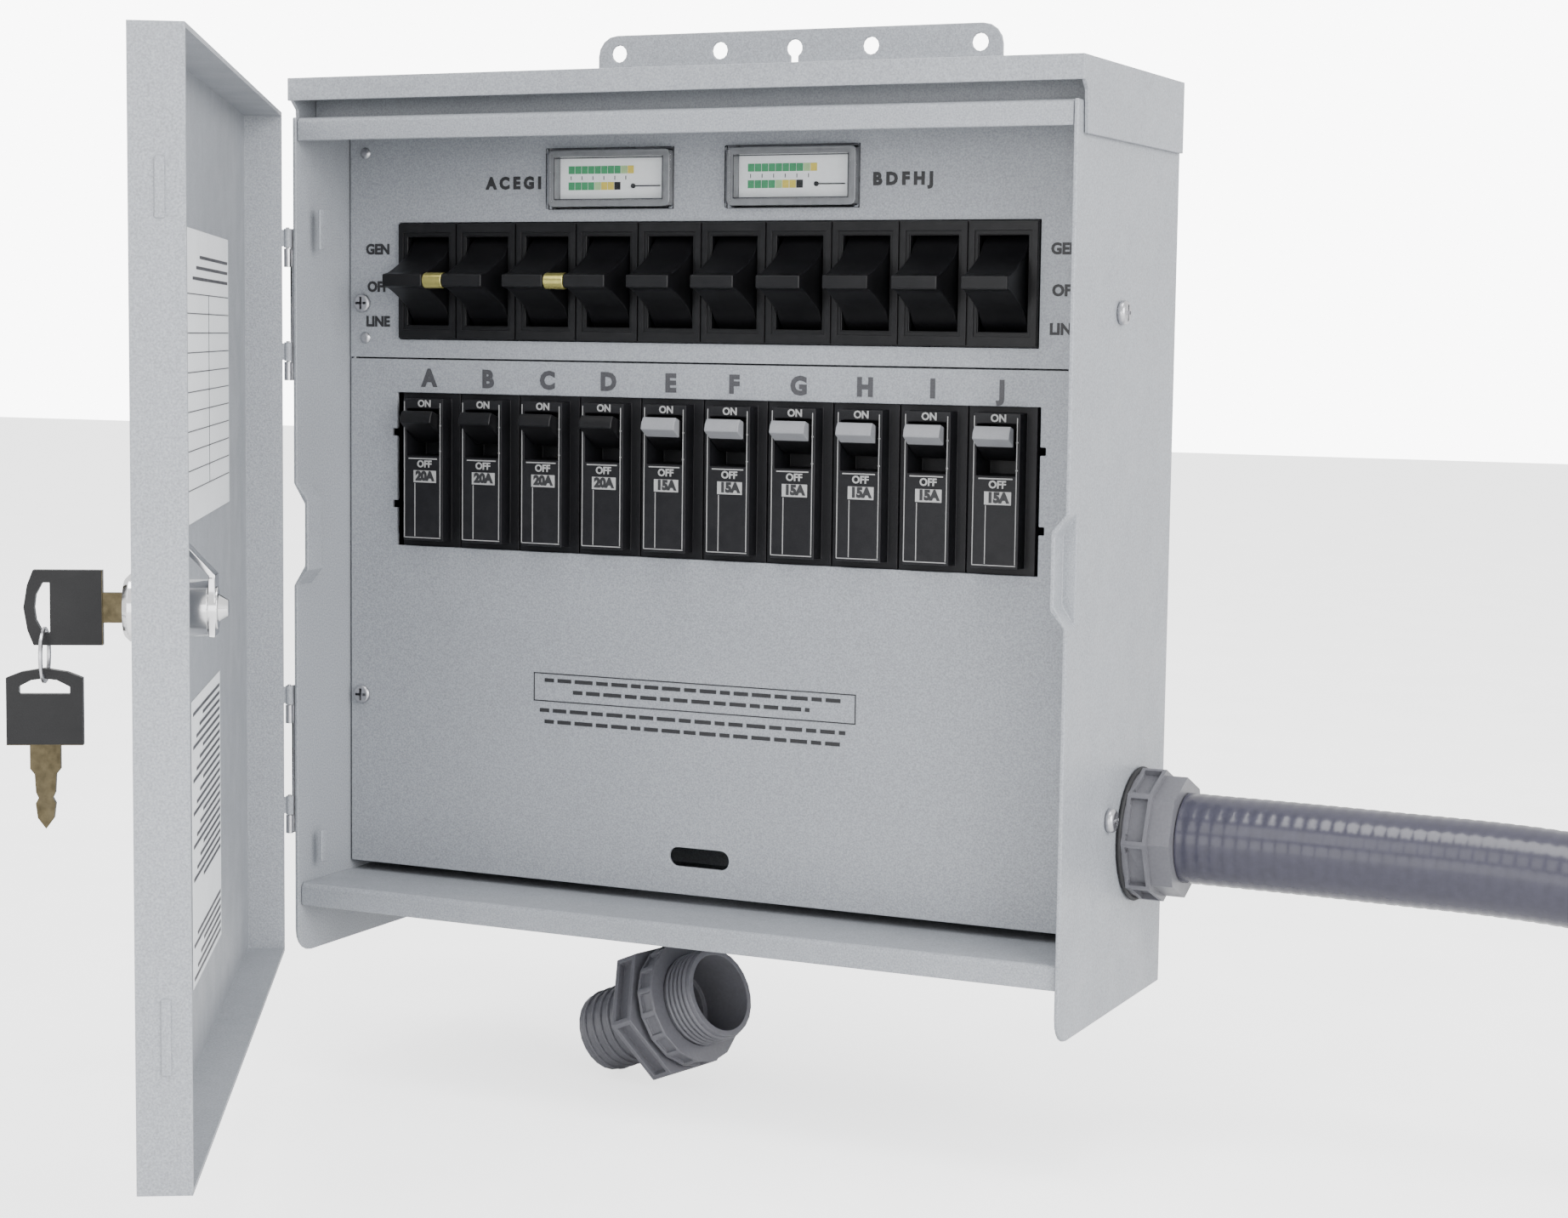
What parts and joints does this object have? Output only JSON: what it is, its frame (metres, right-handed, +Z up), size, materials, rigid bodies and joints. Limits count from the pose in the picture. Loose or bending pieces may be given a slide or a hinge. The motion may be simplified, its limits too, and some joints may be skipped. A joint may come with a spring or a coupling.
{
  "type": "manual transfer switch",
  "caption": "Wall-mounted manual transfer switch with an open lockable door, centre-off handles, breakers, two meters and a flexible conduit.",
  "frame": {"origin": "centre of the wall face, on the rear of the back panel", "axes": "+X to the right seen from the front, +Y into the wall, +Z up"},
  "size_m": [0.7685, 0.3846, 0.3968],
  "materials": {
    "grey_enclosure_paint": "fine speckled powder coat, satin",
    "zinc_plate": "bright zinc plate",
    "brass": "polished",
    "black_plastic": "satin moulding",
    "charcoal_plastic": "matte moulding with white print",
    "grey_plastic": "matte",
    "white_plastic": "gloss dial and frame",
    "chrome": "polished",
    "key_plastic": "moulded black bow on a plated blade",
    "grey_nylon": "moulded nylon",
    "conduit_jacket": "ribbed vinyl jacket",
    "clear_plastic": "clear meter cover",
    "print_white": "printed legend",
    "print_black": "printed legend",
    "paper_label": "printed paper label",
    "copper_wire": "insulated wire ends"
  },
  "bodies": {
    "enclosure": {"back_panel": "grey_enclosure_paint", "left_side_panel": "grey_enclosure_paint", "right_side_panel": "grey_enclosure_paint", "bottom_ledge": "grey_enclosure_paint", "top_plate": "grey_enclosure_paint", "hood": "grey_enclosure_paint", "switch_panel": "grey_enclosure_paint", "lower_cover": "grey_enclosure_paint", "inner_chassis": "zinc_plate", "neutral_bar": "brass", "switch_bank": "black_plastic", "breaker_a": "charcoal_plastic", "breaker_b": "charcoal_plastic", "breaker_c": "charcoal_plastic", "breaker_d": "charcoal_plastic", "breaker_e": "charcoal_plastic", "breaker_f": "charcoal_plastic", "breaker_g": "charcoal_plastic", "breaker_h": "charcoal_plastic", "breaker_i": "charcoal_plastic", "breaker_j": "charcoal_plastic", "meter_left": "white_plastic", "meter_right": "white_plastic", "hinge_lower": "zinc_plate", "hinge_upper": "zinc_plate", "conduit_connector": "grey_nylon", "conduit_locknut": "grey_nylon", "conduit": "conduit_jacket"},
    "handle_pair_ab": {"switch_handle_a": "black_plastic", "switch_handle_b": "black_plastic", "handle_tie_ab": "brass"},
    "handle_pair_cd": {"switch_handle_c": "black_plastic", "switch_handle_d": "black_plastic", "handle_tie_cd": "brass"},
    "handle_e": {"switch_handle_e": "black_plastic"},
    "handle_f": {"switch_handle_f": "black_plastic"},
    "handle_g": {"switch_handle_g": "black_plastic"},
    "handle_h": {"switch_handle_h": "black_plastic"},
    "handle_i": {"switch_handle_i": "black_plastic"},
    "handle_j": {"switch_handle_j": "black_plastic"},
    "toggle_a": {"breaker_toggle_a": "black_plastic"},
    "toggle_b": {"breaker_toggle_b": "black_plastic"},
    "toggle_c": {"breaker_toggle_c": "black_plastic"},
    "toggle_d": {"breaker_toggle_d": "black_plastic"},
    "toggle_e": {"breaker_toggle_e": "grey_plastic"},
    "toggle_f": {"breaker_toggle_f": "grey_plastic"},
    "toggle_g": {"breaker_toggle_g": "grey_plastic"},
    "toggle_h": {"breaker_toggle_h": "grey_plastic"},
    "toggle_i": {"breaker_toggle_i": "grey_plastic"},
    "toggle_j": {"breaker_toggle_j": "grey_plastic"},
    "needle_left": {"meter_needle_left": "black_plastic"},
    "needle_right": {"meter_needle_right": "black_plastic"},
    "door": {"door_panel": "grey_enclosure_paint", "lock_barrel": "chrome"},
    "lock_core": {"lock_plug": "brass"},
    "door_key": {"key": "key_plastic"},
    "ring": {"key_ring": "zinc_plate"},
    "second_key": {"spare_key": "key_plastic"},
    "loose_fitting": {"loose_connector": "grey_nylon", "loose_locknut": "grey_nylon"}
  },
  "joints": [
    {"name": "handle_ab_throw", "type": "hinge", "parent": "enclosure", "child": "handle_pair_ab", "pos_m": [-0.1143, -0.0623, 0.0923], "axis": [1, 0, 0], "range_deg": [-24, 24]},
    {"name": "handle_cd_throw", "type": "hinge", "parent": "enclosure", "child": "handle_pair_cd", "pos_m": [-0.0635, -0.0623, 0.0923], "axis": [1, 0, 0], "range_deg": [-24, 24]},
    {"name": "handle_e_throw", "type": "hinge", "parent": "enclosure", "child": "handle_e", "pos_m": [-0.0127, -0.0623, 0.0923], "axis": [1, 0, 0], "range_deg": [-24, 24]},
    {"name": "handle_f_throw", "type": "hinge", "parent": "enclosure", "child": "handle_f", "pos_m": [0.0127, -0.0623, 0.0923], "axis": [1, 0, 0], "range_deg": [-24, 24]},
    {"name": "handle_g_throw", "type": "hinge", "parent": "enclosure", "child": "handle_g", "pos_m": [0.0381, -0.0623, 0.0923], "axis": [1, 0, 0], "range_deg": [-24, 24]},
    {"name": "handle_h_throw", "type": "hinge", "parent": "enclosure", "child": "handle_h", "pos_m": [0.0635, -0.0623, 0.0923], "axis": [1, 0, 0], "range_deg": [-24, 24]},
    {"name": "handle_i_throw", "type": "hinge", "parent": "enclosure", "child": "handle_i", "pos_m": [0.0889, -0.0623, 0.0923], "axis": [1, 0, 0], "range_deg": [-24, 24]},
    {"name": "handle_j_throw", "type": "hinge", "parent": "enclosure", "child": "handle_j", "pos_m": [0.1143, -0.0623, 0.0923], "axis": [1, 0, 0], "range_deg": [-24, 24]},
    {"name": "toggle_a_throw", "type": "hinge", "parent": "enclosure", "child": "toggle_a", "pos_m": [-0.1143, -0.0723, 0.036], "axis": [1, 0, 0], "range_deg": [0, 48]},
    {"name": "toggle_b_throw", "type": "hinge", "parent": "enclosure", "child": "toggle_b", "pos_m": [-0.0889, -0.0723, 0.036], "axis": [1, 0, 0], "range_deg": [0, 48]},
    {"name": "toggle_c_throw", "type": "hinge", "parent": "enclosure", "child": "toggle_c", "pos_m": [-0.0635, -0.0723, 0.036], "axis": [1, 0, 0], "range_deg": [0, 48]},
    {"name": "toggle_d_throw", "type": "hinge", "parent": "enclosure", "child": "toggle_d", "pos_m": [-0.0381, -0.0723, 0.036], "axis": [1, 0, 0], "range_deg": [0, 48]},
    {"name": "toggle_e_throw", "type": "hinge", "parent": "enclosure", "child": "toggle_e", "pos_m": [-0.0127, -0.0723, 0.036], "axis": [1, 0, 0], "range_deg": [0, 48]},
    {"name": "toggle_f_throw", "type": "hinge", "parent": "enclosure", "child": "toggle_f", "pos_m": [0.0127, -0.0723, 0.036], "axis": [1, 0, 0], "range_deg": [0, 48]},
    {"name": "toggle_g_throw", "type": "hinge", "parent": "enclosure", "child": "toggle_g", "pos_m": [0.0381, -0.0723, 0.036], "axis": [1, 0, 0], "range_deg": [0, 48]},
    {"name": "toggle_h_throw", "type": "hinge", "parent": "enclosure", "child": "toggle_h", "pos_m": [0.0635, -0.0723, 0.036], "axis": [1, 0, 0], "range_deg": [0, 48]},
    {"name": "toggle_i_throw", "type": "hinge", "parent": "enclosure", "child": "toggle_i", "pos_m": [0.0889, -0.0723, 0.036], "axis": [1, 0, 0], "range_deg": [0, 48]},
    {"name": "toggle_j_throw", "type": "hinge", "parent": "enclosure", "child": "toggle_j", "pos_m": [0.1143, -0.0723, 0.036], "axis": [1, 0, 0], "range_deg": [0, 48]},
    {"name": "needle_left_swing", "type": "hinge", "parent": "enclosure", "child": "needle_left", "pos_m": [-0.0292, -0.0754, 0.1268], "axis": [0, 1, 0], "range_deg": [-20, 20]},
    {"name": "needle_right_swing", "type": "hinge", "parent": "enclosure", "child": "needle_right", "pos_m": [0.0432, -0.0754, 0.1268], "axis": [0, 1, 0], "range_deg": [-20, 20]},
    {"name": "door_swing", "type": "hinge", "parent": "enclosure", "child": "door", "pos_m": [-0.1526, -0.1126, -0.002], "axis": [0, 0, 1], "range_deg": [-55, 59.7]},
    {"name": "lock_turn", "type": "hinge", "parent": "door", "child": "lock_core", "pos_m": [-0.025, -0.36465, -0.002], "axis": [-0.8634, -0.5045, 0], "range_deg": [-90, 0]},
    {"name": "key_pull", "type": "slide", "parent": "lock_core", "child": "door_key", "axis": [-0.8634, -0.5045, 0], "range_m": [0, 0.03]},
    {"name": "ring_swing", "type": "hinge", "parent": "door_key", "child": "ring", "pos_m": [-0.04754, -0.37782, -0.0078], "axis": [0.5045, -0.8634, 0], "range_deg": [-12, 12]},
    {"name": "second_key_swing", "type": "hinge", "parent": "ring", "child": "second_key", "pos_m": [-0.04754, -0.37782, -0.0222], "axis": [0.5045, -0.8634, 0], "range_deg": [-18, 18]},
    {"name": "loose_fitting_slide", "type": "slide", "parent": "enclosure", "child": "loose_fitting", "axis": [0.6, -0.8, 0], "range_m": [0, 0.2]}
  ]
}
